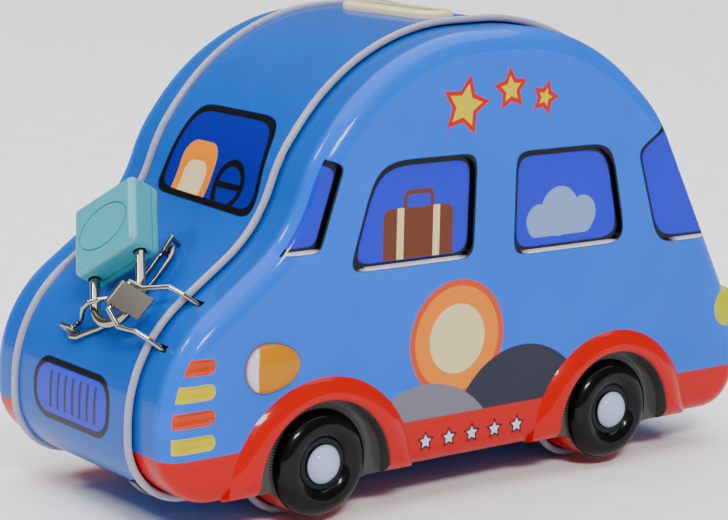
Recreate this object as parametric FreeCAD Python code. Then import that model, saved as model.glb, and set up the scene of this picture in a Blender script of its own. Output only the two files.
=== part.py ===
import FreeCAD, Part
import math
import os

V = FreeCAD.Vector
os.makedirs("parts", exist_ok=True)

# Axes: +X to the car's front, +Y to its left side, +Z up, ground at Z = 0, millimetres

# Sheet and seams
TIN = 0.5
BEAD_R = 0.9
BAND_HALF = 25.6
BAND_INSET = 0.3
SHELL_INSET = 1.2
RIM_DEPTH = 2.0
SEAM_LIP = 1.6
SEAM_LAP = 0.6
OVER = 20.0

# Side outline along the bead: corner X, corner Z, corner radius
X_SHIFT = 1.70
BOTTOM_Z = 8.6
OUTLINE = [
    (91.5, BOTTOM_Z, 15.5),
    (91.5, 44.5, 33.0),
    (57.1, 68.9, 34.0),
    (51.2, 85.1, 39.0),
    (28.7, 114.1, 58.0),
    (-31.2, 115.4, 62.0),
    (-59.9, 91.6, 43.0),
    (-91.6, 33.3, 46.0),
    (-91.6, BOTTOM_Z, 12.0),
]

# Wheels pressed into the sides
WHEEL_Z = 15.1
WHEEL_XS = (-43.7, 47.3)
DIP_R = WHEEL_Z - BEAD_R
DIP_FILLET = 4.0
TYRE_R = 12.7
TYRE_TUBE_R = 3.6
TYRE_PROUD = 1.2
DISH_DROP = 1.6
DISH_BACK = 6.0
HUB_R = 4.9
HUB_RISE = 3.2

# Side shells
SHELL_DEPTH = 14.0
SHOULDER_R = 5.0
SIDE_Y = BAND_HALF + SHELL_DEPTH
ARCH_Z = 9.5
ARCH_R = 26.3
ARCH_LIP_R = 19.6
ARCH_LIP_Z = 11.9
ARCH_PROUD = 2.0
ARCH_CREST_R = 23.4
ARCH_CREST_Z = 10.5
ARCH_CREST = 1.5
ARCH_STEM = 4.0
LIP_ROLL = 1.0
WELL_R = 18.4
WELL_DROP = 2.2
WINDOW_DROP = 1.0
WINDOW_SETBACK = 0.6

# Window outlines on the side: corner X, corner Z, corner radius
FRONT_WINDOW = [(3.6, 59.2, 4.0), (41.0, 59.2, 4.5), (33.2, 84.6, 9.0), (3.2, 84.6, 4.5)]
REAR_WINDOW = [(-46.6, 58.4, 4.0), (-9.0, 58.4, 4.0), (-9.0, 84.0, 4.5), (-40.6, 84.0, 9.0)]
FRONT_QUARTER = [(49.2, 64.8, 2.0), (66.0, 64.8, 1.5), (52.0, 90.0, 3.0), (42.6, 84.4, 2.0)]
REAR_QUARTER = [(-77.0, 56.8, 2.0), (-57.6, 56.8, 6.0), (-49.6, 81.3, 3.5), (-62.0, 89.0, 2.0)]

# Marker grooves, head lamp and tail lamp
MARKER_ZS = (25.0, 30.8, 36.6, 42.4)
MARKER_X = 79.2
MARKER_R = 1.9
MARKER_DROP = 1.0
LAMP_X = 64.2
LAMP_Z = 39.9
LAMP_FRONT = 5.2
LAMP_REAR = 9.8
LAMP_FLAT = 2.6
LAMP_HIGH = 5.7
TAIL_FROM_END = 7.0
TAIL_Z = 37.4
TAIL_IN = 3.0
TAIL_LENGTH = 4.6
TAIL_FLAT = 3.4
TAIL_HIGH = 5.0

# Coin slot
SLOT_X = -2.6
SLOT_LENGTH = 31.0
SLOT_WIDTH = 4.4
BEZEL_WALL = 1.0
BEZEL_FLANGE = 2.4
BEZEL_RISE = 1.6
BEZEL_EDGE = 1.1
BEZEL_SEAT = 2.0
BEZEL_SKIRT = 2.2
BEZEL_LAP = 0.4
BEZEL_CLEAR = 0.1

# Lid hinge at the tail
HINGE_OUT = 2.7
HINGE_Y = BAND_HALF + 0.3
KNUCKLE_R = 1.5
PIN_R = 0.75
PIN_CLEAR = 0.06
PIN_END = 0.5
PIN_END_R = 1.3
PIN_PLAY = 0.05
LEAF = 0.5
LEAF_PASS = 1.2
BODY_LEAF_IN = (2.6, 10.0)
LID_LEAF_OUT = (2.4, 8.6)
TAIL_ZONE = (-110.0, -60.0)
KNUCKLE_ZS = (16.0, 20.2, 25.2, 29.4)
KNUCKLE_GAP = 0.2
RIVET_R = 0.8
RIVET_HEAD_R = 1.5
RIVET_HEAD = 0.6
RIVET_EDGE = 0.36
RIVET_ZS = (19.2, 26.2)
RIVET_CLEAR = 0.04
RIVET_LAP = 0.1
BODY_RIVET_IN = 6.6
LID_RIVET_OUT = 5.8

# Clasp on the bonnet, in its own axes: S up the slope, Y across from the lid's seam, N away from the tin
CLASP_TILT = 45.0
WIRE_R = 0.6
BAIL_FEET_S = (-6.0, 7.1)
BAIL_AXIS_Y = 3.6
BAIL_AXIS_N = -3.3
BAIL_FOOT = 2.2
BAIL_SLOT_Y = (1.9, 5.5)
BAIL_SLOT_N = (-4.5, 1.0)
BAIL_SLOT_HALF = 0.85
BAIL_UPPER = [(6.6, 1.6, 1.2), (6.1, -0.6, 4.0), (2.6, -5.0, 6.6)]
BAIL_CROSS_S = (2.5, -5.5)
BAIL_LOWER = [(-7.3, -5.8, 4.9), (-6.6, -0.4, 4.0), (-6.3, 1.6, 1.2)]
BARREL_S = (-4.5, 1.5)
BARREL_Y = -8.1
BARREL_N = 8.3
BARREL_R = 1.9
BARREL_CLEAR = 0.08
LEVER_END_Y = -1.2
LEVER_END_N = 3.9
LEVER_SHEET = 0.5
KEEPER_RUNS = 36
KEEPER_PATH = [
    (-8.4, -29.2, -0.2),
    (-6.8, -24.6, 2.8),
    (-4.9, -20.9, 5.9),
    (-2.2, -18.4, 5.0),
    (1.4, -17.7, 2.0),
    (7.0, -18.4, 0.1),
    (13.0, -20.2, -1.0),
    (16.6, -21.0, -1.6),
    (18.8, -20.0, -1.9),
    (17.6, -18.0, -1.7),
    (13.0, -15.6, -0.9),
    (7.0, -14.0, -0.1),
    (0.5, -14.2, 0.4),
    (-5.6, -18.0, -0.1),
    (-9.8, -24.8, -0.7),
    (-11.2, -29.0, -1.0),
    (-9.9, -30.8, -0.8),
]
STAPLE_OVER = 1.55
STAPLE_DEEP = 3.6
STAPLE_CLEAR = 0.05
FRONT_STAPLE = [(-9.8, -32.4), (-9.7, -28.2), -0.8]
REAR_STAPLE = [(20.3, -19.8), (16.7, -19.4), -1.9]

# Padlock, in its own axes: X along its width, Y towards the shackle, Z out of its face
LOCK_W = 20.0
LOCK_H = 19.2
LOCK_T = 9.0
LOCK_CENTRE = (13.3, -26.1, 8.5)
LOCK_X_AXIS = (-0.608, -0.78, -0.15)
LOCK_Y_AXIS = (-0.746, 0.625, -0.23)
LOCK_EDGE = 1.6
OVAL = (8.0, 5.7)
OVAL_UP = 0.4
OVAL_LINE = 0.4
OVAL_DROP = 0.3
PARTING_Z = -1.8
PARTING = 0.3
LOCK_WALL = 1.3
CORE_CLEAR = 0.08
SHACKLE_R = 1.2
SHACKLE_HALF = 7.5
SHACKLE_OUT = 7.4
HEEL_IN = 12.0
TOE_IN = 3.6
HEEL_ROOM = 1.0
TOE_ROOM = 6.0
LEG_CLEAR = 0.1
LEG_HOLE = 0.45
PLUG_R = 2.7
PLUG_NOSE_R = 2.1
PLUG_LENGTH = 9.0
PLUG_CLEAR = 0.06
END_PLATE = 1.2
KEYWAY = (0.8, 3.0, 5.0)

# Small folded tab at the front lower corner, beside the near bead
TAB_THICK = 1.4
TAB_FROM_SEAM = (1.3, 4.2)
TAB_X = (84.5, 91.0)
TAB_TOP_Z = 13.5


def corner(before, here, after, radius):
    """Arc of one rounded corner as centre X, centre Z, radius, start angle, end angle, side."""
    ax, az = here[0] - before[0], here[1] - before[1]
    bx, bz = after[0] - here[0], after[1] - here[1]
    la, lb = math.hypot(ax, az), math.hypot(bx, bz)
    na = (az / la, -ax / la)
    nb = (bz / lb, -bx / lb)
    side = 1 if ax * bz - az * bx > 0 else -1
    k = radius / (1 + na[0] * nb[0] + na[1] * nb[1])
    cx = here[0] - side * k * (na[0] + nb[0])
    cz = here[1] - side * k * (na[1] + nb[1])
    a0 = math.atan2(side * na[1], side * na[0])
    a1 = math.atan2(side * nb[1], side * nb[0])
    if side > 0 and a1 < a0:
        a1 += 2 * math.pi
    if side < 0 and a1 > a0:
        a1 -= 2 * math.pi
    return (cx, cz, radius, a0, a1, side)


def rounded(corners):
    """Arcs of a closed polygon, listed anticlockwise, with every corner rounded."""
    n = len(corners)
    return [corner(corners[i - 1], corners[i], corners[(i + 1) % n], corners[i][2]) for i in range(n)]


def dip(x):
    """Three arcs that carry the bottom line down and round one wheel."""
    low = BOTTOM_Z - DIP_FILLET
    reach = math.sqrt((DIP_R + DIP_FILLET) ** 2 - (WHEEL_Z - low) ** 2)
    a = math.atan2(WHEEL_Z - low, reach)
    return [
        (x - reach, low, DIP_FILLET, math.pi / 2, a, -1),
        (x, WHEEL_Z, DIP_R, math.pi + a, 2 * math.pi - a, 1),
        (x + reach, low, DIP_FILLET, math.pi - a, math.pi / 2, -1),
    ]


def arcs_wire(arcs, y, inset=0.0):
    """Closed wire of arcs and the lines between them, moved in by inset, at one Y."""
    edges = []
    ends = []
    for cx, cz, r, a0, a1, side in arcs:
        ri = r - side * inset
        pts = [V(cx + ri * math.cos(a), y, cz + ri * math.sin(a)) for a in (a0, (a0 + a1) / 2, a1)]
        ends.append(pts)
    for i, pts in enumerate(ends):
        last = ends[i - 1][2]
        if last.distanceToPoint(pts[0]) > 1e-6:
            edges.append(Part.makeLine(last, pts[0]))
        edges.append(Part.Arc(*pts).toShape())
    return Part.Wire(edges)


TAIL_LINE = min(c[0] for c in OUTLINE)
BODY_ARCS = rounded(OUTLINE) + dip(WHEEL_XS[0]) + dip(WHEEL_XS[1])


def prism(inset, y0, y1, arcs=BODY_ARCS):
    """Solid between two Y planes inside an outline moved in by inset."""
    return Part.Face(arcs_wire(arcs, y0, inset)).extrude(V(0, y1 - y0, 0))


def ring(inset0, inset1, y0, y1):
    """Strip of sheet that follows the body outline between two insets."""
    return prism(inset0, y0, y1).cut(prism(inset1, y0, y1))


def box(x0, x1, y0, y1, z0, z1):
    return Part.makeBox(x1 - x0, y1 - y0, z1 - z0, V(x0, y0, z0))


def fuse(shapes):
    shape = shapes[0]
    if len(shapes) > 1:
        shape = shape.multiFuse(shapes[1:])
    return shape.removeSplitter()


def rod(p, q, r):
    return Part.makeCylinder(r, p.distanceToPoint(q), p, q.sub(p))


def wire_run(points, r):
    """Bent round wire: straight runs joined by balls at the bends."""
    runs = [rod(points[i], points[i + 1], r) for i in range(len(points) - 1)]
    return fuse(runs + [Part.makeSphere(r, p) for p in points[1:-1]])


def egg(centre, front, rear, flat, high):
    """Two half ellipsoids back to back, with their own lengths to the front and to the rear."""
    halves = []
    for reach, facing in ((front, 1), (rear, -1)):
        grow = FreeCAD.Matrix()
        grow.scale(reach, flat, high)
        dome = Part.makeSphere(1.0, V(0, 0, 0), V(facing, 0, 0), 0, 90, 360)
        halves.append(dome.transformGeometry(grow))
    solid = fuse(halves)
    solid.translate(centre)
    return solid


# Side shells

def side_block(off, y0, proud=0.0):
    """Plain pan of the side, off inside its outer skin, with the rounded shoulder."""
    top = SIDE_Y + proud - off
    block = prism(SHELL_INSET + off, y0, top)
    rim = [e for e in block.Edges if all(abs(v.Y - top) < 1e-6 for v in e.Vertexes)]
    return block.makeFillet(SHOULDER_R - off, rim)


def side_form(off):
    """Pressed side, off inside its outer skin: arches, wells, wheels, windows and lamps."""
    y0 = BAND_HALF - RIM_DEPTH - (OVER if off else 0.0)
    form = side_block(off, y0)
    clip = side_block(off, y0, ARCH_PROUD)
    side = SIDE_Y - off
    arches = []
    wells = []
    tyres = []
    for x in WHEEL_XS:
        foot = Part.Circle(V(x, side - ARCH_STEM, ARCH_Z), V(0, 1, 0), ARCH_R - off).toShape()
        base = Part.Circle(V(x, side, ARCH_Z), V(0, 1, 0), ARCH_R - off).toShape()
        lip = Part.Circle(V(x, side + ARCH_PROUD, ARCH_LIP_Z), V(0, 1, 0), ARCH_LIP_R - off).toShape()
        crest = Part.Circle(V(x, side + ARCH_CREST, ARCH_CREST_Z), V(0, 1, 0), ARCH_CREST_R - off).toShape()
        flare = Part.makeLoft([Part.Wire(base), Part.Wire(crest), Part.Wire(lip)], True)
        stem = Part.makeLoft([Part.Wire(foot), Part.Wire(base)], True)
        arches.append(flare.fuse(stem).common(clip))
        floor = SIDE_Y - WELL_DROP - off
        wells.append(Part.makeCylinder(WELL_R + off, OVER, V(x, floor, ARCH_LIP_Z), V(0, 1, 0)))
        roll = V(x, SIDE_Y + ARCH_PROUD - LIP_ROLL, ARCH_LIP_Z)
        wells.append(Part.makeCylinder(WELL_R + LIP_ROLL, OVER, roll, V(0, 1, 0)))
        tyres.append(Part.makeTorus(WELL_R + LIP_ROLL, LIP_ROLL - off, roll, V(0, 1, 0)).common(clip))
        tube = TYRE_TUBE_R - off
        tube_y = SIDE_Y + TYRE_PROUD - TYRE_TUBE_R
        mid = TYRE_R - TYRE_TUBE_R
        tyres.append(Part.makeTorus(mid, tube, V(x, tube_y, WHEEL_Z), V(0, 1, 0)))
        dish_y = SIDE_Y + TYRE_PROUD - DISH_DROP - off
        tyres.append(Part.makeCylinder(mid, DISH_BACK, V(x, dish_y - DISH_BACK, WHEEL_Z), V(0, 1, 0)))
        ball = (HUB_R ** 2 + HUB_RISE ** 2) / (2 * HUB_RISE)
        top = SIDE_Y + TYRE_PROUD - DISH_DROP + HUB_RISE
        hub = Part.makeSphere(ball - off, V(x, top - ball, WHEEL_Z))
        tyres.append(hub.common(Part.makeCylinder(mid, OVER, V(x, dish_y - DISH_BACK, WHEEL_Z), V(0, 1, 0))))
    form = form.multiFuse(arches)
    form = form.cut(wells)
    form = form.multiFuse(tyres)
    for outline in (FRONT_WINDOW, REAR_WINDOW, FRONT_QUARTER, REAR_QUARTER):
        form = form.cut(prism(WINDOW_SETBACK - off, side - WINDOW_DROP, SIDE_Y + OVER, rounded(outline)))
    for z in MARKER_ZS:
        start = V(MARKER_X, SIDE_Y + MARKER_R - MARKER_DROP, z)
        groove = Part.makeCylinder(MARKER_R + off, OVER, start, V(1, 0, 0))
        form = form.cut(groove.fuse(Part.makeSphere(MARKER_R + off, start)))
    head = egg(V(LAMP_X, SIDE_Y, LAMP_Z), LAMP_FRONT - off, LAMP_REAR - off, LAMP_FLAT - off, LAMP_HIGH - off)
    tail_at = V(TAIL_LINE + TAIL_FROM_END, SIDE_Y - TAIL_IN, TAIL_Z)
    tail = egg(tail_at, TAIL_LENGTH - off, TAIL_LENGTH - off, TAIL_FLAT - off, TAIL_HIGH - off)
    return form.multiFuse([head, tail])


side_shell = side_form(0.0).cut(side_form(TIN)).removeSplitter().Solids[0]

# Right side: the same pressing with a seam lip that bears on the band
lip_top = BAND_HALF - RIM_DEPTH + SEAM_LAP
seam_lip = ring(BAND_INSET + TIN, SHELL_INSET + TIN, lip_top - SEAM_LIP, lip_top)
right_shell = fuse([side_shell, seam_lip]).mirror(V(0, 0, 0), V(0, 1, 0))

# Centre band with a rolled bead along each edge
band_outer = prism(BAND_INSET, -BAND_HALF, BAND_HALF)
band = ring(BAND_INSET, BAND_INSET + TIN, -BAND_HALF, BAND_HALF)
for y in (-BAND_HALF, BAND_HALF):
    path = arcs_wire(BODY_ARCS, y)
    start = path.Edges[0].valueAt(path.Edges[0].FirstParameter)
    along = path.Edges[0].tangentAt(path.Edges[0].FirstParameter)
    profile = Part.Wire([Part.Circle(start, along, BEAD_R).toShape()])
    band = band.fuse(path.makePipeShell([profile], True, False))


# Coin slot

def stadium(length, width, z0, z1):
    """Upright slot-shaped block across the roof."""
    half = (length - width) / 2
    mid = box(SLOT_X - width / 2, SLOT_X + width / 2, -half, half, z0, z1)
    caps = [Part.makeCylinder(width / 2, z1 - z0, V(SLOT_X, y, z0)) for y in (-half, half)]
    return fuse([mid] + caps)


ROOF_Z = band_outer.BoundBox.ZMax
throat = (SLOT_LENGTH + 2 * BEZEL_WALL, SLOT_WIDTH + 2 * BEZEL_WALL)
flange = (throat[0] + 2 * BEZEL_FLANGE, throat[1] + 2 * BEZEL_FLANGE)
bezel_top = stadium(flange[0], flange[1], ROOF_Z - BEZEL_SEAT, ROOF_Z + BEZEL_RISE)
rim = [e for e in bezel_top.Edges if all(abs(v.Z - ROOF_Z - BEZEL_RISE) < 1e-6 for v in e.Vertexes)]
bezel_top = bezel_top.makeFillet(BEZEL_EDGE, rim).cut(band_outer)
bezel = fuse([bezel_top, stadium(throat[0], throat[1], ROOF_Z - BEZEL_SKIRT, ROOF_Z + BEZEL_LAP)])
bezel = bezel.cut(stadium(SLOT_LENGTH, SLOT_WIDTH, ROOF_Z - OVER, ROOF_Z + OVER))
hole = stadium(throat[0] + 2 * BEZEL_CLEAR, throat[1] + 2 * BEZEL_CLEAR, ROOF_Z - OVER, ROOF_Z + OVER)
band = band.cut(hole)

# Lid hinge
HINGE_X = TAIL_LINE - HINGE_OUT


def hinge_strip(inset0, inset1, y0, y1, z0, z1):
    return ring(inset0, inset1, y0, y1).common(box(*TAIL_ZONE, y0, y1, z0, z1))


def knuckle(z0, z1):
    return Part.makeCylinder(KNUCKLE_R, z1 - z0, V(HINGE_X, HINGE_Y, z0))


pin_hole = Part.makeCylinder(PIN_R + PIN_CLEAR, 3 * OVER, V(HINGE_X, HINGE_Y, 0))
Z0, Z1, Z2, Z3 = KNUCKLE_ZS
pass_out = -LEAF_PASS - LEAF
body_step = BAND_HALF - BODY_LEAF_IN[0]
body_leaf = fuse([
    hinge_strip(BAND_INSET - LEAF, BAND_INSET, BAND_HALF - BODY_LEAF_IN[1], body_step, Z0, Z3),
    hinge_strip(pass_out, BAND_INSET, body_step - LEAF, body_step, Z1 + KNUCKLE_GAP, Z2 - KNUCKLE_GAP),
    hinge_strip(pass_out, -LEAF_PASS, body_step - LEAF, HINGE_Y, Z1 + KNUCKLE_GAP, Z2 - KNUCKLE_GAP),
    knuckle(Z1 + KNUCKLE_GAP, Z2 - KNUCKLE_GAP),
]).cut(pin_hole)
lid_step = BAND_HALF + LID_LEAF_OUT[0]
lid_parts = [hinge_strip(SHELL_INSET - LEAF, SHELL_INSET, lid_step, BAND_HALF + LID_LEAF_OUT[1], Z0, Z3)]
for z0, z1 in ((Z0, Z1), (Z2, Z3)):
    lid_parts.append(hinge_strip(pass_out, SHELL_INSET, lid_step, lid_step + LEAF, z0, z1))
    lid_parts.append(hinge_strip(pass_out, -LEAF_PASS, HINGE_Y, lid_step + LEAF, z0, z1))
    lid_parts.append(knuckle(z0, z1))
lid_leaf = fuse(lid_parts).cut(pin_hole)
hinge_pin = fuse([
    Part.makeCylinder(PIN_R, Z3 - Z0 + 2 * PIN_END, V(HINGE_X, HINGE_Y, Z0 - PIN_END)),
    Part.makeCylinder(PIN_END_R, PIN_END, V(HINGE_X, HINGE_Y, Z3 + PIN_PLAY)),
    Part.makeCylinder(PIN_END_R, PIN_END, V(HINGE_X, HINGE_Y, Z0 - PIN_PLAY - PIN_END)),
])


def tail_rivet(y, z, inset):
    """Round-headed rivet through a hinge leaf and the tin behind it; inset is the tin's outer face."""
    x = hinge_strip(inset, inset + TIN, y, y + TIN, z, z + TIN).BoundBox.XMin
    head = Part.makeCylinder(RIVET_HEAD_R, RIVET_HEAD, V(x - LEAF - RIVET_HEAD, y, z), V(1, 0, 0))
    tailing = Part.makeCylinder(RIVET_HEAD_R, RIVET_HEAD, V(x + TIN + RIVET_LAP, y, z), V(1, 0, 0))
    rim_edges = [e for e in head.Edges if abs(e.BoundBox.XMax - head.BoundBox.XMin) < 1e-6]
    head = head.makeFillet(RIVET_EDGE, rim_edges)
    shank = rod(V(x - LEAF - RIVET_LAP, y, z), V(x + TIN + 2 * RIVET_LAP, y, z), RIVET_R)
    return fuse([head, tailing, shank])


def tail_hole(y, z):
    return rod(V(TAIL_ZONE[0], y, z), V(TAIL_ZONE[1], y, z), RIVET_R + RIVET_CLEAR)


body_rivet_y = BAND_HALF - BODY_RIVET_IN
lid_rivet_y = BAND_HALF + LID_RIVET_OUT
body_rivets = []
lid_rivets = []
for z in RIVET_ZS:
    body_rivets.append(tail_rivet(body_rivet_y, z, BAND_INSET))
    body_leaf = body_leaf.cut(tail_hole(body_rivet_y, z))
    band = band.cut(tail_hole(body_rivet_y, z))
    lid_rivets.append(tail_rivet(lid_rivet_y, z, SHELL_INSET))
    lid_leaf = lid_leaf.cut(tail_hole(lid_rivet_y, z))
body_rivet_set = Part.makeCompound([r.cut(body_leaf).cut(band) for r in body_rivets])

# Clasp axes: the point on the nose curve where the tin lies at the clasp's tilt
nose = corner(OUTLINE[0], OUTLINE[1], OUTLINE[2], OUTLINE[1][2])
tilt = math.radians(CLASP_TILT)
UP = V(-math.cos(tilt), 0, math.sin(tilt))
OUT = V(math.sin(tilt), 0, math.cos(tilt))
CLASP = V(nose[0] + nose[2] * OUT.x, BAND_HALF, nose[1] + nose[2] * OUT.z)


def at(s, y, n):
    return CLASP + UP * s + V(0, y, 0) + OUT * n


def block_at(s0, s1, y0, y1, n0, n1):
    """Block in the clasp's axes."""
    b = box(y0, y1, s0, s1, n0, n1)
    b.Placement = FreeCAD.Placement(CLASP, FreeCAD.Rotation(V(0, 1, 0), UP, OUT, "ZXY"))
    return b


# Bail of bent wire, held by two feet under the lid's edge
lower_foot, upper_foot = BAIL_FEET_S
bail_path = [(upper_foot - BAIL_FOOT, BAIL_AXIS_Y, BAIL_AXIS_N), (upper_foot, BAIL_AXIS_Y, BAIL_AXIS_N)]
bail_path += BAIL_UPPER + [(s, BARREL_Y, BARREL_N) for s in BAIL_CROSS_S] + BAIL_LOWER
bail_path += [(lower_foot, BAIL_AXIS_Y, BAIL_AXIS_N), (lower_foot + BAIL_FOOT, BAIL_AXIS_Y, BAIL_AXIS_N)]
bail = wire_run([at(*p) for p in bail_path], WIRE_R)
lid_holes = [tail_hole(lid_rivet_y, z) for z in RIVET_ZS]
for s in BAIL_FEET_S:
    lid_holes.append(block_at(s - BAIL_SLOT_HALF, s + BAIL_SLOT_HALF, *BAIL_SLOT_Y, *BAIL_SLOT_N))
lid_shell = side_shell.cut(lid_holes)
lid_rivet_set = Part.makeCompound([r.cut(lid_leaf).cut(lid_shell) for r in lid_rivets])

# Lever: a tin tongue rolled round the bail
barrel = rod(at(BARREL_S[0], BARREL_Y, BARREL_N), at(BARREL_S[1], BARREL_Y, BARREL_N), BARREL_R)
drop = math.atan2(BARREL_N - LEVER_END_N, LEVER_END_Y - BARREL_Y)
reach = math.hypot(BARREL_N - LEVER_END_N, LEVER_END_Y - BARREL_Y)
tongue = block_at(BARREL_S[0], BARREL_S[1], 0, reach, BARREL_R - LEVER_SHEET, BARREL_R)
tongue.rotate(CLASP, UP, math.degrees(drop))
tongue.translate(at(0, BARREL_Y, BARREL_N) - CLASP)
lever = fuse([barrel, tongue])
bore = rod(at(-OVER, BARREL_Y, BARREL_N), at(OVER, BARREL_Y, BARREL_N), WIRE_R + BARREL_CLEAR)
lever = lever.cut(bore)

# Keeper: a long wire eye lying on the band, the shackle through its middle
curve = Part.BSplineCurve()
curve.interpolate([at(*p) for p in KEEPER_PATH], PeriodicFlag=True)
step = (curve.LastParameter - curve.FirstParameter) / KEEPER_RUNS
bends = [curve.value(curve.FirstParameter + step * i) for i in range(KEEPER_RUNS)]
keeper_ring = wire_run(bends + bends[:2], WIRE_R)


def staple(leg, other, n, r):
    """Wire staple over one end of the keeper, its legs through the band."""
    top, low = n + STAPLE_OVER, n - STAPLE_DEEP
    return wire_run([at(*leg, low), at(*leg, top), at(*other, top), at(*other, low)], r)


front_staple = staple(*FRONT_STAPLE, WIRE_R)
rear_staple = staple(*REAR_STAPLE, WIRE_R)
for place in (FRONT_STAPLE, REAR_STAPLE):
    band = band.cut(staple(*place, WIRE_R + STAPLE_CLEAR))

# Padlock
lock_x = UP * LOCK_X_AXIS[0] + V(0, LOCK_X_AXIS[1], 0) + OUT * LOCK_X_AXIS[2]
lock_y = UP * LOCK_Y_AXIS[0] + V(0, LOCK_Y_AXIS[1], 0) + OUT * LOCK_Y_AXIS[2]
lock_frame = FreeCAD.Placement(at(*LOCK_CENTRE), FreeCAD.Rotation(lock_x, lock_y, V(0, 0, 0), "XYZ"))


def in_lock(shape):
    shape.Placement = lock_frame.multiply(shape.Placement)
    return shape


def legs(r, heel, toe, y1):
    """Two rods along the padlock's Y, heel on the left and toe on the right."""
    top = LOCK_H / 2
    left = rod(V(-SHACKLE_HALF, top - heel, 0), V(-SHACKLE_HALF, y1, 0), r)
    right = rod(V(SHACKLE_HALF, top - toe, 0), V(SHACKLE_HALF, y1, 0), r)
    return left, right


def oval(inset):
    """Flat oval block for the line pressed in the padlock's face."""
    rim = Part.Ellipse(V(0, 0, 0), OVAL[0] - inset, OVAL[1] - inset).toShape()
    return Part.Face(Part.Wire([rim])).extrude(V(0, 0, OVER))


half_w, half_h, half_t = LOCK_W / 2, LOCK_H / 2, LOCK_T / 2
cover = box(-half_w, half_w, -half_h, half_h, -half_t, half_t)
cover = cover.makeFillet(LOCK_EDGE, cover.Edges)
oval_line = oval(0).cut(oval(OVAL_LINE))
oval_line.translate(V(0, OVAL_UP, half_t - OVAL_DROP))
cover = cover.cut(oval_line)
parting = box(-half_w, half_w, -half_h, half_h, PARTING_Z, PARTING_Z + PARTING)
cover = cover.cut(parting.cut(box(-half_w + PARTING, half_w - PARTING, -half_h + PARTING, half_h - PARTING,
                                  PARTING_Z, PARTING_Z + PARTING)))
core_w, core_t = half_w - LOCK_WALL, half_t - LOCK_WALL
core_end = -half_h + END_PLATE
core_top = half_h - LOCK_WALL
cover = cover.cut(box(-core_w, core_w, -half_h - OVER, core_top, -core_t, core_t))
for leg in legs(SHACKLE_R + LEG_HOLE, HEEL_IN, TOE_IN, half_h + OVER):
    cover = cover.cut(leg)
gap = CORE_CLEAR
core = box(-core_w + gap, core_w - gap, core_end, core_top - gap, -core_t + gap, core_t - gap)
for leg in legs(SHACKLE_R + LEG_CLEAR, HEEL_IN + HEEL_ROOM, TOE_IN + TOE_ROOM, half_h + OVER):
    core = core.cut(leg)
core = core.cut(rod(V(0, -OVER, 0), V(0, core_end + PLUG_LENGTH + PLUG_CLEAR, 0), PLUG_R + PLUG_CLEAR))
end_plate = box(-core_w + gap, core_w - gap, -half_h, core_end - gap, -core_t + gap, core_t - gap)
end_plate = end_plate.cut(rod(V(0, -OVER, 0), V(0, OVER, 0), PLUG_NOSE_R + PLUG_CLEAR))
plug = fuse([
    rod(V(0, core_end, 0), V(0, core_end + PLUG_LENGTH, 0), PLUG_R),
    rod(V(0, -half_h, 0), V(0, core_end + END_PLATE, 0), PLUG_NOSE_R),
])
key_w, key_h, key_deep = KEYWAY
plug = plug.cut(box(-key_w / 2, key_w / 2, -half_h - OVER, -half_h + key_deep, -key_h / 2, key_h / 2))
bend_y = half_h + SHACKLE_OUT
bend = Part.makeTorus(SHACKLE_HALF, SHACKLE_R, V(0, bend_y, 0), V(0, 0, 1))
bend = bend.common(box(-OVER, OVER, bend_y, bend_y + OVER, -OVER, OVER))
shackle = fuse([bend] + list(legs(SHACKLE_R, HEEL_IN, TOE_IN, bend_y)))

# Corner tab
tab_y = (BAND_HALF - TAB_FROM_SEAM[1], BAND_HALF - TAB_FROM_SEAM[0])
tab = ring(BAND_INSET - TAB_THICK, BAND_INSET, *tab_y).common(box(*TAB_X, *tab_y, 0, TAB_TOP_Z))

PARTS = {
    "centre_band": band,
    "left_side_shell": lid_shell,
    "right_side_shell": right_shell,
    "coin_slot_bezel": bezel,
    "hinge_leaf_body": body_leaf,
    "hinge_leaf_lid": lid_leaf,
    "hinge_pin": hinge_pin,
    "hinge_rivets_body": body_rivet_set,
    "hinge_rivets_lid": lid_rivet_set,
    "corner_tab": tab,
    "keeper_ring": keeper_ring,
    "keeper_staple_front": front_staple,
    "keeper_staple_rear": rear_staple,
    "clasp_bail": bail,
    "clasp_lever": lever,
    "padlock_cover": in_lock(cover),
    "padlock_core": in_lock(core),
    "padlock_end_plate": in_lock(end_plate),
    "padlock_plug": in_lock(plug),
    "padlock_shackle": in_lock(shackle),
}
for name, shape in PARTS.items():
    shape = shape.copy()
    shape.translate(V(X_SHIFT, 0, 0))
    shape.exportStep("parts/%s.step" % name)
    b = shape.BoundBox
    print("%-18s solids %d valid %s x %.2f %.2f y %.2f %.2f z %.2f %.2f volume %.1f" % (
        name, len(shape.Solids), shape.isValid(), b.XMin, b.XMax, b.YMin, b.YMax, b.ZMin, b.ZMax, shape.Volume))


def world(p):
    return [round(p.x + X_SHIFT, 4), round(p.y, 4), round(p.z, 4)]


def direction(d):
    d = V(d)
    d.normalize()
    return [round(d.x, 6), round(d.y, 6), round(d.z, 6)]


print("hinge axis", world(V(HINGE_X, HINGE_Y, 0)))
print("bail axis", world(at(0, BAIL_AXIS_Y, BAIL_AXIS_N)), direction(UP))
print("barrel axis", world(at(0, BARREL_Y, BARREL_N)), direction(UP))
print("lock centre", world(at(*LOCK_CENTRE)), "x", direction(lock_frame.Rotation.multVec(V(1, 0, 0))),
      "y", direction(lock_frame.Rotation.multVec(V(0, 1, 0))), "z", direction(lock_frame.Rotation.multVec(V(0, 0, 1))))
print("lift axis", world(lock_frame.multVec(V(0, bend_y + SHACKLE_HALF / 2, 0))))
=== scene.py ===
import math
from collections import namedtuple
import bpy
from mathutils import Matrix, Vector

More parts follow.
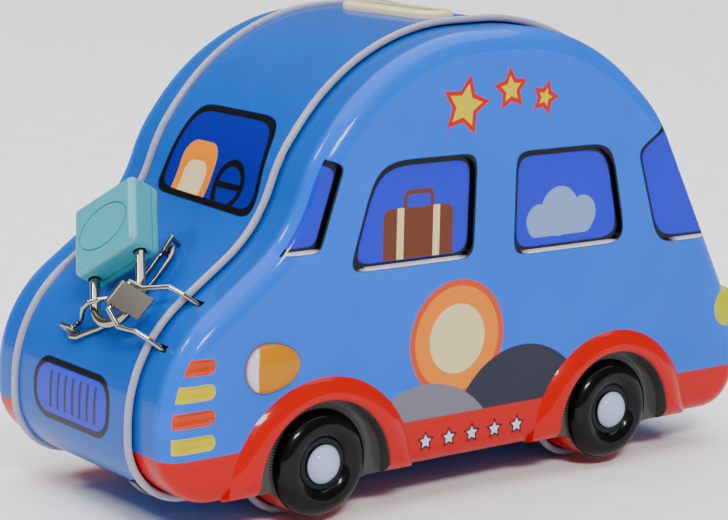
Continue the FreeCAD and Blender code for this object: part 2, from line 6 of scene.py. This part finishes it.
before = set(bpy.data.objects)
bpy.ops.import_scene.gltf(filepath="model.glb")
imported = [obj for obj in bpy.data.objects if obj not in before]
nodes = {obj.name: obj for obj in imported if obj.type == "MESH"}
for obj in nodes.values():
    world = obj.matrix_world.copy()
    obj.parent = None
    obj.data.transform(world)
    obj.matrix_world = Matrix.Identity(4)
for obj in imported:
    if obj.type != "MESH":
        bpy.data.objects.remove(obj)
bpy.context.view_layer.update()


# Colours

def srgb(r, g, b):
    """Linear colour with alpha from an 8-bit screen colour."""
    def one(c):
        c = c / 255
        return c / 12.92 if c <= 0.04045 else ((c + 0.055) / 1.055) ** 2.4
    return (one(r), one(g), one(b), 1.0)


BLUE = srgb(0, 90, 210)
BAND_BLUE = srgb(0, 74, 166)
RED = srgb(176, 3, 2)
BEAD = srgb(150, 147, 166)
BLACK = srgb(5, 5, 7)
GLASS = srgb(14, 30, 190)
SCREEN = srgb(0, 18, 130)
AMBER = srgb(178, 112, 0)
BROWN = srgb(70, 36, 10)
LILAC = srgb(196, 192, 210)
HUB = srgb(160, 170, 206)
YELLOW = srgb(190, 174, 0)
ORANGE = srgb(186, 60, 22)
LIME = srgb(164, 170, 0)
TYRE = srgb(6, 6, 8)
WELL = srgb(62, 60, 60)
TINPLATE = srgb(130, 132, 136)
CREAM = srgb(206, 190, 138)
SLATE = srgb(34, 34, 50)
GREY = srgb(104, 102, 114)
GOLD = srgb(214, 116, 6)
TAN = srgb(92, 44, 22)
PALE = srgb(110, 140, 182)
ENAMEL = srgb(226, 212, 162)
NICKEL = srgb(150, 144, 134)
# Grey tin of the corner tab, darkened with painted shade for its place under the bead
SHADED_TAB_GREY = srgb(66, 68, 72)
TEAL = srgb(54, 146, 158)
STEEL = srgb(150, 152, 156)
BRASS = srgb(196, 160, 86)
FLOOR = srgb(244, 244, 244)


# Places on the tin: millimetres along the car (U), across it (Y) and up (Z).
# U is the frame's x less U_SHIFT. The nose is at high U.

MM_PER_METRE = 1000.0
U_SHIFT = 1.7
SEAM_Y = 25.6
SIDE_Y = 39.6
BEAD_W = 0.95

# Depths behind the flat of the side
FLAT_DEPTH = 1.08
SHOULDER_DEPTH = 1.7
WELL_DEPTH = 2.8
TYRE_DEPTH = 3.6
# Painted shade on the rim: depth and softness of the darker blue laid next to the bead
RIM_SHADE_DEPTH, RIM_SHADE_SOFT = 4.6, 1.4

# Sun and hills (colour, place, radius), and stars (place, radius, turn)
SUN = (8.0, 40.0)
SUN_R, SUN_EDGE, SUN_CORE_R = 14.5, 1.6, 8.5
HILLS = ((SLATE, -13.0, 14.0, 22.0), (GREY, 17.5, 6.0, 24.0))
ROOF_STARS = ((7.5, 96.0, 7.6, 0.2), (-6.6, 99.2, 5.6, -0.1), (-17.6, 96.6, 4.6, 0.3))
ROOF_STAR_EDGE = 1.1
STAR_WAIST = 0.52

# Red skirt and its row of stars, which starts at the front
SKIRT_Z = 21.5
SKIRT_STARS = 5
SKIRT_STAR_U, SKIRT_STAR_STEP, SKIRT_STAR_Z = 17.0, 7.2, 15.9
SKIRT_STAR_R, SKIRT_STAR_EDGE = 2.7, 0.45

# Wheels, wells and arches
WHEEL_US = (-43.7, 47.3)
WHEEL_Z = 15.1
ARCH_Z, ARCH_R = 9.5, 26.3
LIP_Z, WELL_R = 11.9, 18.4
WELL_OVER = 0.2
TREAD_R, TYRE_R, HUB_R = 13.9, 12.9, 4.6
TREAD_TICKS = 120

# Side windows: the quarter lights run out on the rounded shoulder. Each also gives the middle and
# half length of the painted highlight along its lower ledge.
Window = namedtuple("Window", "outline eases depth sill_u sill_half middle")
WINDOWS = (
    Window([(3.6, 59.2), (41.0, 59.2), (33.2, 84.6), (3.2, 84.6)], (6.0, 12.0, 6.0),
           FLAT_DEPTH, 22.0, 15.0, (20.0, 72.0)),
    Window([(-46.6, 58.4), (-9.0, 58.4), (-9.0, 84.0), (-40.6, 84.0)], (6.0, 6.0, 9.0),
           FLAT_DEPTH, -28.0, 15.0, (-26.0, 71.0)),
    Window([(49.2, 64.8), (72.0, 64.8), (58.0, 90.0), (42.6, 84.4)], (3.0, 3.0, 3.0),
           SHOULDER_DEPTH, 56.0, 6.0, (52.0, 74.0)),
    Window([(-83.0, 56.8), (-57.6, 56.8), (-49.6, 81.3), (-66.0, 91.5)], (8.0, 4.0, 3.0),
           SHOULDER_DEPTH, -70.0, 6.0, (-62.0, 70.0)),
)
WINDOW_EDGE = 1.6
PANE_EDGE = 1.7
# Painted highlight along the lower ledge of each window: its inset, height and soft ends
LEDGE_GLINT_EDGE, LEDGE_GLINT_H, LEDGE_GLINT_SOFT = 0.15, 0.85, 1.5

# Suitcase in the front side window, and cloud in the rear one (place, radius of each puff)
CASE_U, CASE_Z = 20.0, 65.5
CASE_HALF_U, CASE_HALF_Z, CASE_CORNER = 10.5, 7.5, 2.2
STRAP_OUT, STRAP_HALF, STRAP_CORNER = 5.4, 1.0, 0.2
HANDLE_Z, HANDLE_HALF_U, HANDLE_HALF_Z, HANDLE_CORNER = 74.2, 4.0, 2.4, 1.4
HANDLE_LINE = 0.6
CLOUD_PUFFS = ((-24.5, 68.0, 6.2), (-32.0, 66.8, 4.6), (-17.8, 66.2, 4.0))
CLOUD_BASE = (-25.0, 64.6, 10.5, 2.6, 2.4)

# Head lamp with a pale sliver at its front, marker grooves and tail lamp
LAMP_U, LAMP_Z = 64.2, 39.9
LAMP_FORE, LAMP_AFT, LAMP_HALF_Z, LAMP_MEAN_R = 5.4, 10.0, 5.9, 5.6
LAMP_EDGE = 0.15
SLIVER_EDGE, SLIVER_U, SLIVER_BOW = 0.3, 67.3, 1.4
MARKER_U, MARKER_Z, MARKER_STEP = 84.6, 25.0, 5.8
MARKER_COLOURS = (YELLOW, ORANGE, YELLOW, ORANGE)
MARKER_HALF_U, MARKER_HALF_Z, MARKER_CORNER = 7.2, 1.8, 1.7
TAIL_LAMP = (-84.6, 37.4)
TAIL_RU, TAIL_RZ = 4.8, 5.2
TAIL_DEPTH, TAIL_INNER_Y = 3.0, 33.0

# Bare tin inside: which faces look inwards
INSIDE_Z = 50.0
FLOOR_Z, FLOOR_WEIGHT = 9.0, 30.0
INWARD_SOFT, INWARD_BY = 0.5, 2.0
WALL_DEPTH, LOW_WALL_Z, LOW_WALL_MORE = 4.8, 12.0, 2.0
BACK_DEPTH, BACK_REACH = 2.9, 0.9
WINDOW_AWAY, WHEEL_AWAY = 2.0, 8.0
WELL_WALL_OUT = 0.1
FOOT_IN, FOOT_REACH = 0.5, 0.8
SIDEWAYS = 0.2

# Middle strip: screen with a seat and steering wheel, grille, and rear window
FRONT_U, BACK_U = 30.0, -30.0
SCREEN_OUTLINE = [(-20.0, 72.0), (22.8, 70.8), (18.6, 93.0), (-16.4, 93.0)]
SCREEN_EASES = (6.0, 10.0, 8.0)
REAR_OUTLINE = [(-19.0, 64.0), (19.0, 64.0), (15.0, 86.0), (-15.0, 86.0)]
REAR_EASES = (5.0, 6.0, 6.0)
SCREEN_EDGE = 1.5
SEAT = (-5.5, 73.5, 7.2, 11.5, 4.5)
SEAT_PAD = (-5.5, 71.5, 4.6, 9.0, 3.0)
STEERING_Y, STEERING_Z = 9.4, 76.5
STEERING_R, STEERING_LINE = 5.2, 0.8
SPOKE_HALF_Y, SPOKE_HALF_Z, SPOKE_CORNER = 5.0, 0.7, 0.3
GRILLE = (0.0, 28.8, 17.2, 7.4, 6.4)
GRILLE_BARS = (0.0, 28.8, 11.4, 4.4, 0.6)
GRILLE_EDGE = 1.6
BAR_PITCH, BAR_HALF, BAR_PHASE = 3.3, 0.55, 100.0


class Value:
    """One number in a shader, with ordinary arithmetic."""

    def __init__(self, tree, socket):
        self.tree = tree
        self.socket = socket

    def op(self, name, *others, clamp=False):
        node = self.tree.nodes.new("ShaderNodeMath")
        node.operation = name
        node.use_clamp = clamp
        for i, v in enumerate((self,) + others):
            if isinstance(v, Value):
                self.tree.links.new(v.socket, node.inputs[i])
            else:
                node.inputs[i].default_value = v
        return Value(self.tree, node.outputs[0])

    def __add__(self, o):
        return self.op("ADD", o)

    def __sub__(self, o):
        return self.op("SUBTRACT", o)

    def __mul__(self, o):
        return self.op("MULTIPLY", o)

    def __neg__(self):
        return self.op("MULTIPLY", -1.0)

    def __gt__(self, o):
        return self.op("GREATER_THAN", o)

    def __lt__(self, o):
        return self.op("LESS_THAN", o)

    def abs(self):
        return self.op("ABSOLUTE")

    def max(self, o):
        return self.op("MAXIMUM", o)

    def min(self, o):
        return self.op("MINIMUM", o)

    def inside(self, soft=0.12):
        """1 where the distance is below nought, 0 above, with a narrow soft edge."""
        return self.op("MULTIPLY_ADD", -0.5 / soft, 0.5, clamp=True)


# Distances to flat outlines: below nought inside, above it outside

def length(a, b):
    return (a * a + b * b).op("SQRT")


def circle(u, z, cu, cz, r):
    return length(u - cu, z - cz) - r


def oval(u, z, cu, cz, ru, rz):
    return (length((u - cu) * (1 / ru), (z - cz) * (1 / rz)) - 1.0) * min(ru, rz)


def slab(u, z, cu, cz, hu, hz, r):
    """Distance to a rectangle with rounded corners."""
    qu = (u - cu).abs() - (hu - r)
    qz = (z - cz).abs() - (hz - r)
    return length(qu.max(0.0), qz.max(0.0)) + qu.max(qz).min(0.0) - r


def convex(u, z, points, eases):
    """Distance to a convex outline listed anticlockwise.

    Each ease rounds a corner, from the second corner on. The last one rounds the first too.
    """
    worst = None
    for i, (pu, pz) in enumerate(points):
        qu, qz = points[(i + 1) % len(points)]
        size = math.hypot(qu - pu, qz - pz)
        nu, nz = (qz - pz) / size, (pu - qu) / size
        d = u * nu + z * nz - (pu * nu + pz * nz)
        worst = d if worst is None else worst.op("SMOOTH_MAX", d, eases[i - 1])
    return worst


def star(u, z, cu, cz, r, turn=0.0):
    """Distance to a plump five-pointed star."""
    du, dz = u - cu, z - cz
    fifth = 2 * math.pi / 5
    # Ten fifths keep the angle above nought, so that the remainder folds it onto one point
    a = du.op("ARCTAN2", dz) + (turn + 10 * fifth + fifth / 2)
    a = (a.op("MODULO", fifth) - fifth / 2).abs()
    rho = length(du, dz)
    px, py = rho * a.op("COSINE"), rho * a.op("SINE")
    ix, iy = STAR_WAIST * r * math.cos(fifth / 2), STAR_WAIST * r * math.sin(fifth / 2)
    size = math.hypot(r - ix, iy)
    nx, ny = iy / size, (r - ix) / size
    return px * nx + py * ny - r * nx


class Paint:
    """A glossy painted or plated finish whose colour is built up in layers."""

    COAT_ROUGHNESS = 0.04
    BUMP_METRES = 0.0002
    NOISE_DETAIL = 3.0
    SPECKLE_SCALE, SPECKLE_AMOUNT = 60.0, 0.05
    SPECKLE_ENDS = (0.3, 0.7)
    # Places of the colour sockets on a Mix node
    MIX_A, MIX_B, MIX_RESULT = 6, 7, 2

    def __init__(self, name, colour, rough=0.3, metal=0.0, coat=0.0, bump=0.0,
                 bump_scale=400.0, shine=0.5):
        self.mat = bpy.data.materials.new(name)
        self.mat.use_nodes = True
        self.mat.diffuse_color = colour
        self.tree = self.mat.node_tree
        self.shader = next(n for n in self.tree.nodes if n.type == "BSDF_PRINCIPLED")
        self.shader.inputs["Base Color"].default_value = colour
        self.shader.inputs["Roughness"].default_value = rough
        self.shader.inputs["Metallic"].default_value = metal
        self.shader.inputs["Specular IOR Level"].default_value = shine
        self.shader.inputs["Coat Weight"].default_value = coat
        self.shader.inputs["Coat Roughness"].default_value = self.COAT_ROUGHNESS
        coords = self.new("ShaderNodeTexCoord")
        self.spot = coords.outputs["Object"]
        scale = self.new("ShaderNodeVectorMath", operation="SCALE")
        scale.inputs["Scale"].default_value = MM_PER_METRE
        self.link(self.spot, scale.inputs[0])
        x, self.y, self.z = self.split(scale.outputs[0])
        self.u = x - U_SHIFT
        self.out = self.y.abs()
        self.nx, self.ny, self.nz = self.split(coords.outputs["Normal"])
        self.colour = self.speckle(colour)
        if bump:
            node = self.new("ShaderNodeBump")
            node.inputs["Strength"].default_value = bump
            node.inputs["Distance"].default_value = self.BUMP_METRES
            self.link(self.noise(bump_scale), node.inputs["Height"])
            self.link(node.outputs[0], self.shader.inputs["Normal"])

    def new(self, kind, **settings):
        node = self.tree.nodes.new(kind)
        for key, value in settings.items():
            setattr(node, key, value)
        return node

    def link(self, a, b):
        self.tree.links.new(a, b)

    def split(self, vector):
        """The three numbers of a vector."""
        node = self.new("ShaderNodeSeparateXYZ")
        self.link(vector, node.inputs[0])
        return [Value(self.tree, s) for s in node.outputs]

    def noise(self, scale):
        node = self.new("ShaderNodeTexNoise")
        node.inputs["Scale"].default_value = scale
        node.inputs["Detail"].default_value = self.NOISE_DETAIL
        self.link(self.spot, node.inputs["Vector"])
        return node.outputs[0]

    def speckle(self, colour):
        """The colour, very slightly lighter and darker in soft patches."""
        ramp = self.new("ShaderNodeValToRGB")
        shades = (1 - self.SPECKLE_AMOUNT, 1 + self.SPECKLE_AMOUNT)
        for element, k, end in zip(ramp.color_ramp.elements, shades, self.SPECKLE_ENDS):
            element.color = [min(1.0, c * k) for c in colour[:3]] + [1.0]
            element.position = end
        self.link(self.noise(self.SPECKLE_SCALE), ramp.inputs[0])
        return ramp.outputs[0]

    def over(self, colour, mask):
        """Lays a colour over what is there, where the mask is 1."""
        mix = self.new("ShaderNodeMix", data_type="RGBA")
        self.link(mask.socket, mix.inputs["Factor"])
        self.link(self.colour, mix.inputs[self.MIX_A])
        mix.inputs[self.MIX_B].default_value = colour
        self.colour = mix.outputs[self.MIX_RESULT]

    def outlined(self, d, fill, edge, width):
        """Lays a filled shape with a border of the given width inside its outline."""
        self.over(edge, d.inside())
        self.over(fill, (d + width).inside())

    def done(self):
        self.link(self.colour, self.shader.inputs["Base Color"])
        return self.mat


# Which way a face looks, and how deep it lies

def within(p, depth):
    """1 where the tin lies less than this depth behind the flat of the side."""
    return (p.out - (SIDE_Y - depth)) > 0.0


def away(p, cu, cz):
    """Above nought where a face looks away from a point on the side."""
    return (p.u - cu) * p.nx + (p.z - cz) * p.nz


def sideways(p):
    """1 where a face looks out to its own side, -1 where it looks to the middle."""
    return p.ny * p.y.op("SIGN")


def inner_tin(p, walls=None, more=None):
    """Bare tinplate on the faces that look inwards.

    walls limits the test of the upright faces, and more adds faces that the test leaves out.
    """
    low = p.z < FLOOR_Z
    outward = (p.u * p.nx + (p.z - INSIDE_Z) * p.nz) * (-low + 1.0) - p.nz * low * FLOOR_WEIGHT
    tin = outward.inside(INWARD_SOFT)
    if walls is not None:
        tin = (tin * walls).max((p.y * p.ny + INWARD_BY).inside(INWARD_SOFT)).max(more)
    p.over(TINPLATE, tin)


# Print of the sides

def side_picture(p):
    """Sun over two hills between the wheels, and stars under the roof."""
    p.outlined(circle(p.u, p.z, *SUN, SUN_R), GOLD, ORANGE, SUN_EDGE)
    p.over(CREAM, circle(p.u, p.z, *SUN, SUN_CORE_R).inside())
    for colour, cu, cz, r in HILLS:
        p.over(colour, circle(p.u, p.z, cu, cz, r).inside())
    for cu, cz, r, turn in ROOF_STARS:
        p.outlined(star(p.u, p.z, cu, cz, r, turn), YELLOW, RED, ROOF_STAR_EDGE)


def skirt(p):
    """Red skirt with a row of pale stars."""
    p.over(RED, (p.z - SKIRT_Z).inside())
    for i in range(SKIRT_STARS):
        one = star(p.u, p.z, SKIRT_STAR_U - i * SKIRT_STAR_STEP, SKIRT_STAR_Z, SKIRT_STAR_R)
        p.outlined(one, LILAC, BLACK, SKIRT_STAR_EDGE)


def wheels(p):
    """Red arches, dark wells, and black tyres with a ticked tread and a pale hub."""
    in_well = within(p, WELL_DEPTH)
    on_tyre = within(p, TYRE_DEPTH)
    for cu in WHEEL_US:
        rho = length(p.u - cu, p.z - WHEEL_Z)
        p.over(RED, circle(p.u, p.z, cu, ARCH_Z, ARCH_R).inside())
        p.over(WELL, circle(p.u, p.z, cu, LIP_Z, WELL_R + WELL_OVER).inside() * in_well)
        turn = (p.u - cu).op("ARCTAN2", p.z - WHEEL_Z) * (TREAD_TICKS / (2 * math.pi))
        ticks = turn.op("FRACT") > 0.5
        p.over(BLACK, (rho - TREAD_R).inside() * ticks * in_well)
        p.over(TYRE, (rho - TYRE_R).inside() * on_tyre)
        p.over(HUB, (rho - HUB_R).inside())


def side_windows(p):
    """Glass and black edge of each window, and a painted highlight along its lower ledge. Gives
    the distance to each outline.
    """
    outlines = [convex(p.u, p.z, w.outline, w.eases) for w in WINDOWS]
    for w, d in zip(WINDOWS, outlines):
        shown = within(p, w.depth)
        p.over(BLACK, d.inside() * shown)
        p.over(GLASS, (d + WINDOW_EDGE).inside() * shown)
    # Painted highlight: a pale band along each window's lower ledge stands in for light caught
    # there
    for w, d in zip(WINDOWS, outlines):
        lowest = w.outline[0][1]
        ledge_glint = (d + LEDGE_GLINT_EDGE).inside() * (p.z - (lowest + LEDGE_GLINT_H)).inside()
        ledge_glint = ledge_glint * ((p.u - w.sill_u).abs() - w.sill_half).inside(LEDGE_GLINT_SOFT)
        p.over(LILAC, ledge_glint * within(p, FLAT_DEPTH))
    return outlines


def suitcase(p, pane):
    case = slab(p.u, p.z, CASE_U, CASE_Z, CASE_HALF_U, CASE_HALF_Z, CASE_CORNER)
    p.over(TAN, pane * case.inside())
    for cu in (CASE_U - STRAP_OUT, CASE_U + STRAP_OUT):
        strap = slab(p.u, p.z, cu, CASE_Z, STRAP_HALF, CASE_HALF_Z, STRAP_CORNER)
        p.over(CREAM, pane * strap.inside())
    handle = slab(p.u, p.z, CASE_U, HANDLE_Z, HANDLE_HALF_U, HANDLE_HALF_Z, HANDLE_CORNER)
    above_case = (-(p.z - (CASE_Z + CASE_HALF_Z))).inside()
    p.over(TAN, pane * (handle.abs() - HANDLE_LINE).inside() * above_case)


def cloud(p, pane):
    shape = slab(p.u, p.z, *CLOUD_BASE)
    for cu, cz, r in CLOUD_PUFFS:
        shape = shape.min(circle(p.u, p.z, cu, cz, r))
    p.over(PALE, pane * shape.inside())


def head_lamp(p):
    """Egg-shaped amber lamp, longer towards the tail, with a pale sliver at its front."""
    du = p.u - LAMP_U
    rise = (p.z - LAMP_Z) * (1 / LAMP_HALF_Z)
    along = du.max(0.0) * (1 / LAMP_FORE) + du.min(0.0) * (1 / LAMP_AFT)
    lamp = (length(along, rise) - 1.0) * LAMP_MEAN_R
    p.outlined(lamp, AMBER, BROWN, LAMP_EDGE)
    ahead = (-(p.u + rise * rise * SLIVER_BOW - SLIVER_U)).inside()
    p.over(LILAC, (lamp + SLIVER_EDGE).inside() * ahead)


def markers(p):
    """Column of coloured grooves beside the nose, which run out on the rounded shoulder."""
    for i, colour in enumerate(MARKER_COLOURS):
        groove = slab(p.u, p.z, MARKER_U, MARKER_Z + i * MARKER_STEP,
                      MARKER_HALF_U, MARKER_HALF_Z, MARKER_CORNER)
        p.over(colour, groove.inside() * within(p, FLAT_DEPTH))


def tail_lamp(p):
    """Lime lamp, on the outside of its bulge alone."""
    bulge = away(p, *TAIL_LAMP) + (p.out - (SIDE_Y - TAIL_DEPTH)) * sideways(p)
    lamp = oval(p.u, p.z, *TAIL_LAMP, TAIL_RU, TAIL_RZ)
    p.over(LIME, lamp.inside() * (bulge > 0.0) * (p.out > TAIL_INNER_Y))


def wall_backs(p, outlines):
    """1 on the backs of the upright walls round the windows, wells and arches."""
    backs = p.out * 0.0
    for w, d in zip(WINDOWS, outlines):
        backs = backs.max((d.abs() - BACK_REACH).inside() * (away(p, *w.middle) > WINDOW_AWAY))
    for cu in WHEEL_US:
        ring = circle(p.u, p.z, cu, LIP_Z, WELL_R + WELL_WALL_OUT)
        backs = backs.max((ring.abs() - BACK_REACH).inside() * (away(p, cu, LIP_Z) > WHEEL_AWAY))
    backs = backs * within(p, BACK_DEPTH)
    for cu in WHEEL_US:
        foot = circle(p.u, p.z, cu, ARCH_Z, ARCH_R - FOOT_IN)
        backs = backs.max((foot.abs() - FOOT_REACH).inside() * (away(p, cu, ARCH_Z) < -WHEEL_AWAY))
    return backs * (sideways(p) < SIDEWAYS)


PRINT_GLOSS = {"coat": 0.25, "bump": 0.03, "shine": 0.06}


def side_paint():
    """Print of the two pressed sides, laid on from the ground colour up, with painted shade along
    the rim by the bead and a painted highlight along the lower ledge of each window.
    """
    p = Paint("side_print", BLUE, rough=0.3, **PRINT_GLOSS)
    # Painted shade: the rim next to the bead is darkened to the band's deeper blue, where it turns
    # towards darker surroundings
    p.over(BAND_BLUE, (p.out - (SIDE_Y - RIM_SHADE_DEPTH)).inside(RIM_SHADE_SOFT))
    side_picture(p)
    skirt(p)
    wheels(p)
    outlines = side_windows(p)
    front, rear = outlines[:2]
    suitcase(p, (front + PANE_EDGE).inside())
    cloud(p, (rear + PANE_EDGE).inside())
    head_lamp(p)
    markers(p)
    walls = (p.out - (p.z < LOW_WALL_Z) * LOW_WALL_MORE) < SIDE_Y - WALL_DEPTH
    inner_tin(p, walls, wall_backs(p, outlines))
    tail_lamp(p)
    return p.done()


# Print of the middle strip

def windscreen(p, at_front):
    """Screen with a seat and a steering wheel behind it."""
    screen = convex(p.y, p.z, SCREEN_OUTLINE, SCREEN_EASES)
    p.over(BLACK, screen.inside() * at_front)
    glass = (screen + SCREEN_EDGE).inside() * at_front
    p.over(SCREEN, glass)
    p.over(GOLD, glass * slab(p.y, p.z, *SEAT).inside())
    p.over(CREAM, glass * slab(p.y, p.z, *SEAT_PAD).inside())
    ring = circle(p.y, p.z, STEERING_Y, STEERING_Z, STEERING_R)
    p.over(BLACK, glass * (ring.abs() - STEERING_LINE).inside())
    spoke = slab(p.y, p.z, STEERING_Y, STEERING_Z, SPOKE_HALF_Y, SPOKE_HALF_Z, SPOKE_CORNER)
    p.over(BLACK, glass * spoke.inside())


def grille(p, at_front):
    """Rounded grille with upright bars."""
    frame_edge = slab(p.y, p.z, *GRILLE)
    p.over(BLACK, frame_edge.inside() * at_front)
    p.over(GLASS, (frame_edge + GRILLE_EDGE).inside() * at_front)
    # The phase keeps Y above nought for the remainder
    bar = ((p.y + BAR_PHASE).op("MODULO", BAR_PITCH) - BAR_PITCH / 2).abs() - BAR_HALF
    p.over(SLATE, bar.inside() * slab(p.y, p.z, *GRILLE_BARS).inside() * at_front)


def rear_window(p, at_back):
    pane = convex(p.y, p.z, REAR_OUTLINE, REAR_EASES)
    p.over(BLACK, pane.inside() * at_back)
    p.over(SCREEN, (pane + SCREEN_EDGE).inside() * at_back)


def band_paint():
    """Print of the strip round the middle, with a bright bead along each edge."""
    p = Paint("band_print", BAND_BLUE, rough=0.32, **PRINT_GLOSS)
    at_front = p.u > FRONT_U
    windscreen(p, at_front)
    grille(p, at_front)
    rear_window(p, p.u < BACK_U)
    inner_tin(p)
    p.over(BEAD, (-(p.out - (SEAM_Y - BEAD_W))).inside())
    return p.done()


# Finish of each piece. Pieces that aren't listed are nickel wire and fittings.

def plain(name, colour, rough, metal=0.0, coat=0.0, bump=0.1, scale=900.0):
    return Paint(name, colour, rough, metal, coat, bump, scale).done()


side_print = side_paint()
band_print = band_paint()
cream = plain("cream_enamel", ENAMEL, rough=0.35, coat=0.3, bump=0.04)
nickel = plain("worn_nickel", NICKEL, rough=0.14, metal=1.0, bump=0.015, scale=300.0)
# Painted shade: the corner tab's grey tin is darkened because it sits in shadow under the bead
tab_painted_shade = plain("tab_painted_shade", SHADED_TAB_GREY, rough=0.45)
teal = plain("teal_lacquer", TEAL, rough=0.35, coat=0.2, bump=0.05)
steel = plain("plain_steel", STEEL, rough=0.4, metal=1.0)
brass = plain("plain_brass", BRASS, rough=0.35, metal=1.0)

FINISH = {
    "centre_band": band_print,
    "left_side_shell": side_print,
    "right_side_shell": side_print,
    "coin_slot_bezel": cream,
    "corner_tab": tab_painted_shade,
    "padlock_cover": teal,
    "padlock_core": steel,
    "padlock_end_plate": steel,
    "padlock_plug": brass,
}
for name, piece in nodes.items():
    for place in piece.material_slots:
        place.material = FINISH.get(name, nickel)


# Floor and light, in metres and watts

FLOOR_SIZE = 12.0
WORLD_STRENGTH = 0.22
CAR_MIDDLE = (0, 0, 0.05)
# Name, place, aim, size and power of each light
LIGHTS = (
    ("top", (-0.6, -0.8, 4.0), (-0.6, -0.8, 0), (6.0, 6.0), 380.0),
    ("key", (0.9, 1.9, 1.7), CAR_MIDDLE, (0.7, 0.35), 60.0),
    ("front", (1.5, -0.9, 1.7), CAR_MIDDLE, (0.4, 0.4), 24.0),
)

bpy.ops.mesh.primitive_plane_add(size=FLOOR_SIZE, location=(0, 0, 0))
floor = bpy.context.object
floor.name = "floor"
floor.data.materials.append(Paint("pale_floor", FLOOR, rough=0.6).done())

world = bpy.data.worlds.new("studio")
bpy.context.scene.world = world
world.use_nodes = True
world.node_tree.nodes["Background"].inputs["Color"].default_value = (1, 1, 1, 1)
world.node_tree.nodes["Background"].inputs["Strength"].default_value = WORLD_STRENGTH


def soft_light(name, at, aim, size, watts):
    data = bpy.data.lights.new(name, "AREA")
    data.shape = "RECTANGLE"
    data.size, data.size_y = size
    data.energy = watts
    lamp = bpy.data.objects.new(name, data)
    lamp.location = at
    lamp.rotation_mode = "QUATERNION"
    lamp.rotation_quaternion = (Vector(aim) - Vector(at)).to_track_quat("-Z", "Y")
    bpy.context.scene.collection.objects.link(lamp)


for light in LIGHTS:
    soft_light(*light)


# Camera at the photo's angle: its axes, place in metres, and lens in millimetres

RIGHT = (-0.7899, 0.6128, 0.0214)
UPWARD = (-0.0944, -0.1559, 0.9833)
BACK = (0.6059, 0.7747, 0.181)
EYE = (0.35782, 0.45324, 0.16308)
SENSOR_W = 36.0
FOCAL_LENGTH = 114.41
SHIFT_X, SHIFT_Y = -0.01997, -0.02804
CLIP_START = 0.01

lens = bpy.data.cameras.new("camera")
lens.sensor_width = SENSOR_W
lens.lens = FOCAL_LENGTH
lens.shift_x = SHIFT_X
lens.shift_y = SHIFT_Y
lens.clip_start = CLIP_START
lens.dof.use_dof = False
camera = bpy.data.objects.new("camera", lens)
bpy.context.scene.collection.objects.link(camera)
camera.matrix_world = Matrix([
    (RIGHT[i], UPWARD[i], BACK[i], EYE[i]) for i in range(3)
] + [(0, 0, 0, 1)])
bpy.context.scene.camera = camera
